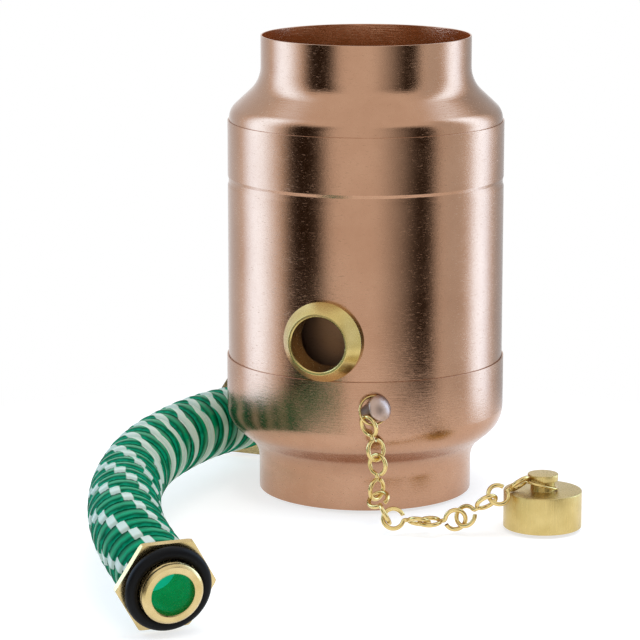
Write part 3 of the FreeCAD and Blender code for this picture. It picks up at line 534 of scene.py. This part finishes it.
def brushed_copper(name, darker, lighter, smoothest, roughest, painted_neck_glow=0.0):
    """Satin copper: brush lines, fine scratches and grain, and a painted warm glow in the neck, an
    emission that stands in for light.
    """
    finish = bpy.data.materials.new(name)
    add, join = node_tree(finish)
    place = add("ShaderNodeTexCoord")
    stretch = add("ShaderNodeMapping")
    stretch.inputs["Scale"].default_value = (1, 1, 22)
    join(place.outputs["Object"], stretch.inputs["Vector"])
    lines = add("ShaderNodeTexNoise")
    lines.inputs["Scale"].default_value = 130.0
    lines.inputs["Detail"].default_value = 6.0
    lines.inputs["Roughness"].default_value = 0.65
    join(stretch.outputs[0], lines.inputs["Vector"])
    grain = add("ShaderNodeTexNoise")
    grain.inputs["Scale"].default_value = 1100.0
    grain.inputs["Detail"].default_value = 4.0
    grain.inputs["Roughness"].default_value = 0.7
    join(place.outputs["Object"], grain.inputs["Vector"])
    clouds = add("ShaderNodeTexNoise")
    clouds.inputs["Scale"].default_value = 38.0
    clouds.inputs["Detail"].default_value = 8.0
    clouds.inputs["Roughness"].default_value = 0.7
    join(place.outputs["Object"], clouds.inputs["Vector"])
    tone = add("ShaderNodeValToRGB")
    join(clouds.outputs["Fac"], tone.inputs["Fac"])
    tone.color_ramp.elements[0].position = 0.30
    tone.color_ramp.elements[0].color = darker
    tone.color_ramp.elements[1].position = 0.70
    tone.color_ramp.elements[1].color = lighter
    gloss = add("ShaderNodeMapRange")
    join(clouds.outputs["Fac"], gloss.inputs["Value"])
    gloss.inputs["From Min"].default_value = 0.35
    gloss.inputs["From Max"].default_value = 0.65
    gloss.inputs["To Min"].default_value = smoothest
    gloss.inputs["To Max"].default_value = roughest
    first_bump = add("ShaderNodeBump")
    first_bump.inputs["Strength"].default_value = 0.30
    first_bump.inputs["Distance"].default_value = 0.00016
    join(lines.outputs["Fac"], first_bump.inputs["Height"])
    second_bump = add("ShaderNodeBump")
    second_bump.inputs["Strength"].default_value = 0.20
    second_bump.inputs["Distance"].default_value = 0.00010
    join(grain.outputs["Fac"], second_bump.inputs["Height"])
    join(first_bump.outputs[0], second_bump.inputs["Normal"])
    scratches = add("ShaderNodeTexNoise")
    scratches.inputs["Scale"].default_value = 420.0
    scratches.inputs["Detail"].default_value = 5.0
    scratches.inputs["Roughness"].default_value = 0.72
    flat = add("ShaderNodeMapping")
    flat.inputs["Scale"].default_value = (1, 1, 4.5)
    join(place.outputs["Object"], flat.inputs["Vector"])
    join(flat.outputs[0], scratches.inputs["Vector"])
    scratched = add("ShaderNodeMapRange")
    join(scratches.outputs["Fac"], scratched.inputs["Value"])
    scratched.inputs["From Min"].default_value = 0.56
    scratched.inputs["From Max"].default_value = 0.70
    scratched.inputs["To Max"].default_value = 0.34
    rough = add("ShaderNodeMath", operation="ADD")
    join(gloss.outputs["Result"], rough.inputs[0])
    join(scratched.outputs["Result"], rough.inputs[1])
    # Painted light: points nearer the axis than the neck's outer wall glow orange, a painted glow
    # on the inside of the neck.
    parts = add("ShaderNodeSeparateXYZ")
    join(place.outputs["Object"], parts.inputs[0])
    level = add("ShaderNodeCombineXYZ")
    join(parts.outputs[0], level.inputs[0])
    join(parts.outputs[1], level.inputs[1])
    from_axis = add("ShaderNodeVectorMath", operation="LENGTH")
    join(level.outputs[0], from_axis.inputs[0])
    inside_neck = add("ShaderNodeMath", operation="LESS_THAN")
    join(from_axis.outputs["Value"], inside_neck.inputs[0])
    inside_neck.inputs[1].default_value = 0.0497
    glow = add("ShaderNodeMath", operation="MULTIPLY")
    join(inside_neck.outputs[0], glow.inputs[0])
    glow.inputs[1].default_value = painted_neck_glow
    metal = add("ShaderNodeBsdfPrincipled")
    metal.inputs["Metallic"].default_value = 1.0
    metal.inputs["Emission Color"].default_value = (1.0, 0.30, 0.08, 1)
    join(glow.outputs[0], metal.inputs["Emission Strength"])
    join(tone.outputs["Color"], metal.inputs["Base Color"])
    join(rough.outputs[0], metal.inputs["Roughness"])
    join(second_bump.outputs[0], metal.inputs["Normal"])
    out = add("ShaderNodeOutputMaterial")
    join(metal.outputs[0], out.inputs["Surface"])
    return finish


COPPER_DARKER = (0.440, 0.240, 0.146, 1)
COPPER_LIGHTER = (0.505, 0.290, 0.182, 1)
# The copper carries a painted orange glow on the inside of the upper neck.
copper = brushed_copper("brushed copper", COPPER_DARKER, COPPER_LIGHTER,
                        smoothest=0.11, roughest=0.18, painted_neck_glow=0.055)
# Millimetres from here on, where an outline is meant: radius, height, round.
SHEET = 0.7
RIM_ROUND = 0.22
UPPER_NECK = 50.0
UPPER_RIM = 219.0
UPPER_SKIRT = 65.1
SKIRT_END = 152.45
upper_outline = rounded_outline([
    (UPPER_NECK, UPPER_RIM, RIM_ROUND), (UPPER_NECK, 197.481, 16.0),
    (UPPER_SKIRT, 183.4, 8.5), (UPPER_SKIRT, SKIRT_END, 0.15),
    (UPPER_SKIRT - SHEET, SKIRT_END, 0.15), (UPPER_SKIRT - SHEET, 183.096, 8.5 - SHEET),
    (UPPER_NECK - SHEET, 197.177, 16.0 + SHEET), (UPPER_NECK - SHEET, UPPER_RIM, RIM_ROUND),
], 14)
add_piece("upper_cone", turned("upper_cone", upper_outline), "upper_reducer", copper)

# main tube
# Rolled copper tube with a shallow bead that stops the upper skirt, and the
# hole for the outlet.
TUBE = 65.85
TUBE_TOP = 178.8
TUBE_FOOT = 48.0
BEAD_DEPTH = 0.45
BEAD_ROUND = 0.6


def tube_wall(radius):
    """One face of the wall from the top down, with a ring of points every 3 mm, so that
    the outlet's hole cuts short faces only."""
    return ([(radius, TUBE_TOP, 0.2), (radius, 152.4, BEAD_ROUND),
             (radius - BEAD_DEPTH, 150.8, BEAD_ROUND), (radius - BEAD_DEPTH, 149.2, BEAD_ROUND),
             (radius, 147.6, BEAD_ROUND)]
            + [(radius, 144.0 - 3 * i, 0) for i in range(32)]
            + [(radius, TUBE_FOOT, 0.15)])


tube_corners = tube_wall(TUBE) + tube_wall(TUBE - SHEET)[::-1]
tube_mesh = turned("tube", rounded_outline(tube_corners, 5))
OUTLET_HEIGHT = 0.0841
HOLE_RADIUS = 0.01545
cutter_mesh = bpy.data.meshes.new("hole_cutter")
builder = bmesh.new()
bmesh.ops.create_cone(builder, cap_ends=True, segments=96, radius1=HOLE_RADIUS,
                      radius2=HOLE_RADIUS, depth=0.04)
builder.to_mesh(cutter_mesh)
builder.free()
cutter_mesh.transform(Matrix.Translation((0, -0.065, OUTLET_HEIGHT))
                      @ Matrix.Rotation(math.radians(90), 4, "X"))
cutter = bpy.data.objects.new("hole_cutter", cutter_mesh)
scene.collection.objects.link(cutter)
blank = bpy.data.objects.new("tube_blank", tube_mesh)
scene.collection.objects.link(blank)
cut = blank.modifiers.new("outlet hole", "BOOLEAN")
cut.object = cutter
cut.operation = "DIFFERENCE"
cut.solver = "EXACT"
bpy.context.view_layer.update()
holed_mesh = bpy.data.meshes.new_from_object(
    blank.evaluated_get(bpy.context.evaluated_depsgraph_get()))
holed_mesh.name = "tube_with_hole"
bpy.data.objects.remove(cutter)
bpy.data.objects.remove(blank)
holed_mesh.shade_smooth()
holed_mesh.set_sharp_from_angle(angle=math.radians(28))
add_piece("tube", holed_mesh, "main_tube", copper)

# lower reducer
# Drawn copper cone. Its socket goes over the main tube, and its neck into
# the downpipe below.
SOCKET = 66.6
SOCKET_TOP = 65.3
LOWER_NECK = 51.2
lower_outline = rounded_outline([
    (SOCKET, SOCKET_TOP, RIM_ROUND), (SOCKET, 33.9, 15.0), (LOWER_NECK, 20.978, 14.0),
    (LOWER_NECK, 0.0, 0.2), (LOWER_NECK - SHEET, 0.0, 0.2),
    (LOWER_NECK - SHEET, 21.304, 14.0 + SHEET), (SOCKET - SHEET, 34.226, 15.0 - SHEET),
    (SOCKET - SHEET, SOCKET_TOP, RIM_ROUND),
], 14)
scuffed_copper = brushed_copper("scuffed copper", COPPER_DARKER, COPPER_LIGHTER,
                                smoothest=0.15, roughest=0.23)
add_piece("lower_cone", turned("lower_cone", lower_outline), "lower_reducer",
          scuffed_copper)

# overflow pipe
# Copper pipe that stands in the lower neck. The trough round it feeds the
# hose, and what is too much runs over its lip.
OVERFLOW = 50.45
OVERFLOW_FOOT = 3.0
OVERFLOW_LIP = 128.0
LIP_RADIUS = 52.05
overflow_outline = rounded_outline([
    (OVERFLOW, OVERFLOW_FOOT, 0.15), (OVERFLOW, OVERFLOW_LIP - SHEET, 0.3),
    (LIP_RADIUS, OVERFLOW_LIP - SHEET, 0.25), (LIP_RADIUS, OVERFLOW_LIP, 0.25),
    (OVERFLOW - SHEET, OVERFLOW_LIP, 0.25), (OVERFLOW - SHEET, OVERFLOW_FOOT, 0.15),
], 4)
# Painted shade: the pipe inside the body gets a darker copy of the copper, standing in for the
# shade it stands in.
shade_painted_copper = brushed_copper("copper darkened as painted shade", (0.34, 0.200, 0.125, 1), (0.40, 0.240, 0.155, 1),
                               smoothest=0.52, roughest=0.64)
add_piece("overflow", turned("overflow", overflow_outline, 192), "overflow_pipe",
          shade_painted_copper)

# outlet bush
# Turned brass: a flange shaped to the tube, a coned nose, and a shank with a
# female pipe thread through the wall, soldered from outside.


def satin_brass(name, specks=0.0, streaks=(1, 1, 1), darker=(0.49, 0.350, 0.105, 1),
                lighter=(0.60, 0.450, 0.165, 1), smoothest=0.16, roughest=0.34, relief=0.00010):
    """Satin brass with fine tool grain and, where asked, a few dark specks."""
    finish = bpy.data.materials.new(name)
    add, join = node_tree(finish)
    place = add("ShaderNodeTexCoord")
    stretch = add("ShaderNodeMapping")
    stretch.inputs["Scale"].default_value = streaks
    join(place.outputs["Object"], stretch.inputs["Vector"])
    grain = add("ShaderNodeTexNoise")
    grain.inputs["Scale"].default_value = 900.0
    grain.inputs["Detail"].default_value = 5.0
    grain.inputs["Roughness"].default_value = 0.7
    join(stretch.outputs[0], grain.inputs["Vector"])
    clouds = add("ShaderNodeTexNoise")
    clouds.inputs["Scale"].default_value = 120.0
    clouds.inputs["Detail"].default_value = 6.0
    join(place.outputs["Object"], clouds.inputs["Vector"])
    tone = add("ShaderNodeValToRGB")
    join(clouds.outputs["Fac"], tone.inputs["Fac"])
    tone.color_ramp.elements[0].position = 0.30
    tone.color_ramp.elements[0].color = darker
    tone.color_ramp.elements[1].position = 0.70
    tone.color_ramp.elements[1].color = lighter
    dirt = add("ShaderNodeTexNoise")
    dirt.inputs["Scale"].default_value = 420.0
    dirt.inputs["Detail"].default_value = 6.0
    dirt.inputs["Roughness"].default_value = 0.75
    join(place.outputs["Object"], dirt.inputs["Vector"])
    dark = add("ShaderNodeMapRange")
    join(dirt.outputs["Fac"], dark.inputs["Value"])
    dark.inputs["From Min"].default_value = 0.70
    dark.inputs["From Max"].default_value = 0.76
    dark.inputs["To Max"].default_value = specks
    colour = add("ShaderNodeMix", data_type="RGBA")
    join(dark.outputs["Result"], colour.inputs["Factor"])
    join(tone.outputs["Color"], colour.inputs[6])
    colour.inputs[7].default_value = (0.05, 0.034, 0.014, 1)
    bump = add("ShaderNodeBump")
    bump.inputs["Strength"].default_value = 0.30
    bump.inputs["Distance"].default_value = relief
    join(grain.outputs["Fac"], bump.inputs["Height"])
    gloss = add("ShaderNodeMapRange")
    join(grain.outputs["Fac"], gloss.inputs["Value"])
    gloss.inputs["To Min"].default_value = smoothest
    gloss.inputs["To Max"].default_value = roughest
    metal = add("ShaderNodeBsdfPrincipled")
    metal.inputs["Metallic"].default_value = 1.0
    join(colour.outputs[2], metal.inputs["Base Color"])
    join(gloss.outputs["Result"], metal.inputs["Roughness"])
    join(bump.outputs[0], metal.inputs["Normal"])
    out = add("ShaderNodeOutputMaterial")
    join(metal.outputs[0], out.inputs["Surface"])
    return finish


brass = satin_brass("satin brass", specks=0.85, darker=(0.56, 0.415, 0.140, 1),
                    lighter=(0.67, 0.520, 0.210, 1))
BUSH_BORE = 12.90
BUSH_MOUTH = 13.30
SHANK = 15.3
SHANK_END = 59.35
FLANGE = 18.75
NOSE = 14.3
NOSE_END = 75.15
bush_outline = rounded_outline([
    (BUSH_BORE, SHANK_END, 0.3), (SHANK, SHANK_END, 0.3), (SHANK, TUBE, 0), (FLANGE, TUBE, 0),
    (FLANGE, 68.25, 0.35), (NOSE, NOSE_END, 0.3), (BUSH_MOUTH, NOSE_END, 0.20),
    (BUSH_BORE, NOSE_END + BUSH_BORE - BUSH_MOUTH, 0.1),
], 5)
SADDLE_RADIUS = 0.0659


def saddle_back(k, x, z, angle):
    """The two back corners of the flange follow the round of the tube."""
    if abs(z - TUBE / 1000) < 1e-6:
        z = math.sqrt(SADDLE_RADIUS ** 2 - (x * math.cos(angle)) ** 2)
    return x, z


outlet_place = (Matrix.Translation((0, 0, OUTLET_HEIGHT))
                @ Matrix.Rotation(math.radians(90), 4, "X"))
bush_mesh = turned("bush", bush_outline, 192, saddle_back, outlet_place)
add_piece("bush", bush_mesh, "outlet_bush", brass)

# chain stud, rings and chain
# The stud is domed copper, soldered on at a slant. The rings and the seven
# links are bent brass wire, and hang down to the floor by their own weight.


def smooth_copy(node, sharp=32):
    """A node's own mesh with its points joined and its rounds shaded smooth."""
    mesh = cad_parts[node].data.copy()
    mesh.name = node + "_smooth"
    weld_seams(mesh)
    mesh.shade_smooth()
    mesh.set_sharp_from_angle(angle=math.radians(sharp))
    return mesh


wire_brass = satin_brass("drawn brass wire", darker=(0.68, 0.500, 0.190, 1),
                         lighter=(0.80, 0.615, 0.270, 1), smoothest=0.18, roughest=0.32)
dull_copper = brushed_copper("dull copper", (0.47, 0.335, 0.270, 1), (0.56, 0.410, 0.335, 1),
                             smoothest=0.36, roughest=0.46)
add_piece("stud", smooth_copy("chain_stud"), "chain_stud", dull_copper)
add_piece("ring_on_stud", smooth_copy("stud_ring"), "stud_ring", wire_brass)
for number in range(1, 8):
    link = "chain_link_%d" % number
    add_piece("link_%d" % number, smooth_copy(link), link, wire_brass)
add_piece("ring_on_cap", smooth_copy("cap_ring"), "cap_ring", wire_brass)

# plug cap
# Turned brass with a knob. It closes the outlet; its seal lies in the coned
# recess underneath.
low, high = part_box("plug_cap")
cap_middle = Vector(((low.x + high.x) / 2, (low.y + high.y) / 2, 0))
CAP = 18.05
CAP_TOP = 17.1
KNOB_NECK = 5.6
KNOB = 7.05
KNOB_FOOT = 21.8
KNOB_TOP = 24.8
SPIGOT = 13.22
SPIGOT_BORE = 10.22
SPIGOT_DEPTH = 13.0
RECESS = 14.5
RECESS_TOP = 6.0
RECESS_MOUTH = 17.25
cap_outline = rounded_outline([
    (CAP, 0.0, 0.3), (CAP, CAP_TOP, 0.45), (KNOB_NECK, CAP_TOP, 0.3),
    (KNOB_NECK, KNOB_FOOT, 0.2), (KNOB, KNOB_FOOT, 0.2), (KNOB, KNOB_TOP, 0.35),
    (0.0, KNOB_TOP, 0), (0.0, SPIGOT_DEPTH, 0), (SPIGOT_BORE, SPIGOT_DEPTH, 0.3),
    (SPIGOT_BORE, 0.0, 0.3), (SPIGOT, 0.0, 0.5), (SPIGOT, RECESS_TOP, 0),
    (RECESS, RECESS_TOP, 0), (RECESS, 4.6, 0), (RECESS_MOUTH, 0.0, 0.15),
], 5)
cap_brass = satin_brass("turned brass", specks=0.10, streaks=(1.3, 1.3, 0.05),
                        darker=(0.57, 0.425, 0.155, 1), lighter=(0.66, 0.505, 0.205, 1),
                        smoothest=0.10, roughest=0.50, relief=0.00060)
add_piece("cap", turned("cap", cap_outline, 192, None, Matrix.Translation(cap_middle)),
          "plug_cap", cap_brass)


def black_rubber():
    """Black rubber with a soft sheen."""
    finish = bpy.data.materials.new("black rubber")
    add, join = node_tree(finish)
    place = add("ShaderNodeTexCoord")
    grain = add("ShaderNodeTexNoise")
    grain.inputs["Scale"].default_value = 700.0
    grain.inputs["Detail"].default_value = 4.0
    join(place.outputs["Object"], grain.inputs["Vector"])
    gloss = add("ShaderNodeMapRange")
    join(grain.outputs["Fac"], gloss.inputs["Value"])
    gloss.inputs["To Min"].default_value = 0.42
    gloss.inputs["To Max"].default_value = 0.56
    bump = add("ShaderNodeBump")
    bump.inputs["Strength"].default_value = 0.12
    bump.inputs["Distance"].default_value = 0.0001
    join(grain.outputs["Fac"], bump.inputs["Height"])
    skin = add("ShaderNodeBsdfPrincipled")
    skin.inputs["Base Color"].default_value = (0.0035, 0.0035, 0.004, 1)
    skin.inputs["Specular IOR Level"].default_value = 0.14
    join(gloss.outputs["Result"], skin.inputs["Roughness"])
    join(bump.outputs[0], skin.inputs["Normal"])
    out = add("ShaderNodeOutputMaterial")
    join(skin.outputs[0], out.inputs["Surface"])
    return finish


rubber = black_rubber()
add_piece("cap_washer", smooth_copy("cap_seal"), "cap_seal", rubber)

# hose fittings
# Turned from hexagon bar: a tail inside the hose, a thin hexagon, and a
# nipple with a male pipe thread that carries a black sealing ring.
HALF_FLATS = 0.0189
HEX_BACK = 0.0140
HEX_FRONT = 0.0170
HEX_CORNER = HALF_FLATS / math.cos(math.radians(30))
CHAMFER = 0.00036
THREAD_PITCH = 0.001814
THREAD_DEPTH = 0.00035
THREAD_FROM = 0.0172
THREAD_TO = 0.0249
TAIL = 0.0123
TAIL_BORE = 0.0102
NIPPLE = 0.01322
NIPPLE_BORE = 0.0093
NIPPLE_END = 0.0260
RINGS_FROM = 0.0182
# The outline goes out along the tail and the hexagon's back, over its flats,
# along the thread and back through the bore.
fitting_outline = [(TAIL_BORE, 0.0), (TAIL, 0.0), (TAIL, HEX_BACK), (0.0150, HEX_BACK),
                   (0.0170, HEX_BACK), (RINGS_FROM, HEX_BACK)]
hex_first = len(fitting_outline)
for first, last in ((HEX_BACK, HEX_BACK + CHAMFER), (HEX_BACK + CHAMFER, HEX_FRONT - CHAMFER),
                    (HEX_FRONT - CHAMFER, HEX_FRONT)):
    start = 0 if first == HEX_BACK else 1
    fitting_outline += [(0.021, first + (last - first) * i / 6) for i in range(start, 7)]
hex_rings = range(hex_first, len(fitting_outline))
fitting_outline += [(RINGS_FROM, HEX_FRONT), (0.0165, HEX_FRONT), (0.0145, HEX_FRONT),
                    (NIPPLE, HEX_FRONT)]
thread_first = len(fitting_outline)
fitting_outline += [(NIPPLE, THREAD_FROM + (THREAD_TO - THREAD_FROM) * i / 56)
                    for i in range(57)]
thread_last = len(fitting_outline)
fitting_outline += [(0.01300, 0.0252), (0.01212, NIPPLE_END), (0.0108, NIPPLE_END),
                    (0.0099, NIPPLE_END), (0.0094, 0.02575), (NIPPLE_BORE, 0.0254),
                    (NIPPLE_BORE, 0.0200), (TAIL_BORE, 0.0191)]


def hexagon_and_thread(k, x, z, angle):
    """Flats on the hexagon's rings, and a fine thread wound on the nipple's."""
    if k in hex_rings:
        offset = (math.degrees(angle) % 60) - 30
        flat = HALF_FLATS / math.cos(math.radians(offset))
        from_end = min(z - HEX_BACK, HEX_FRONT - z)
        cone = HEX_CORNER - 0.0006 + from_end / math.tan(math.radians(30))
        return min(flat, cone, HEX_CORNER - 0.00006), z
    if thread_first <= k < thread_last:
        wave = (z / THREAD_PITCH - angle / (2 * math.pi)) % 1.0
        groove = max(0.0, 1 - abs(wave - 0.5) / 0.36)
        ends = min(1.0, (z - THREAD_FROM) / 0.0005, (THREAD_TO - z) / 0.0005)
        return x - THREAD_DEPTH * groove * max(0.0, ends), z
    return x, z


def fitting_place(spot, inner_spot):
    """The place of a fitting whose own +Z, out of the nipple, points away from the hose."""
    outward = (Vector(spot) - Vector(inner_spot)).normalized()
    level = Vector((-outward.y, outward.x, 0)).normalized()
    upright = outward.cross(level)
    place = Matrix((level, upright, outward)).transposed().to_4x4()
    place.translation = Vector(spot) - outward * 0.0139
    return place


fitting_brass = satin_brass("fitting brass", specks=0.9, darker=(0.60, 0.450, 0.190, 1),
                            lighter=(0.72, 0.560, 0.280, 1), smoothest=0.18, roughest=0.34)
for name, spot, inner_spot in (("near_fitting", HOSE_ROUTE[0], HOSE_ROUTE[1]),
                               ("far_fitting", HOSE_ROUTE[-1], HOSE_ROUTE[-2])):
    mesh = turned(name + "_brass", fitting_outline, 180, hexagon_and_thread,
                  fitting_place(spot, inner_spot), 24)
    add_piece(name + "_brass", mesh, name, fitting_brass)
    add_piece(name + "_ring", smooth_copy(name + "_seal"), name + "_seal",
                              rubber)
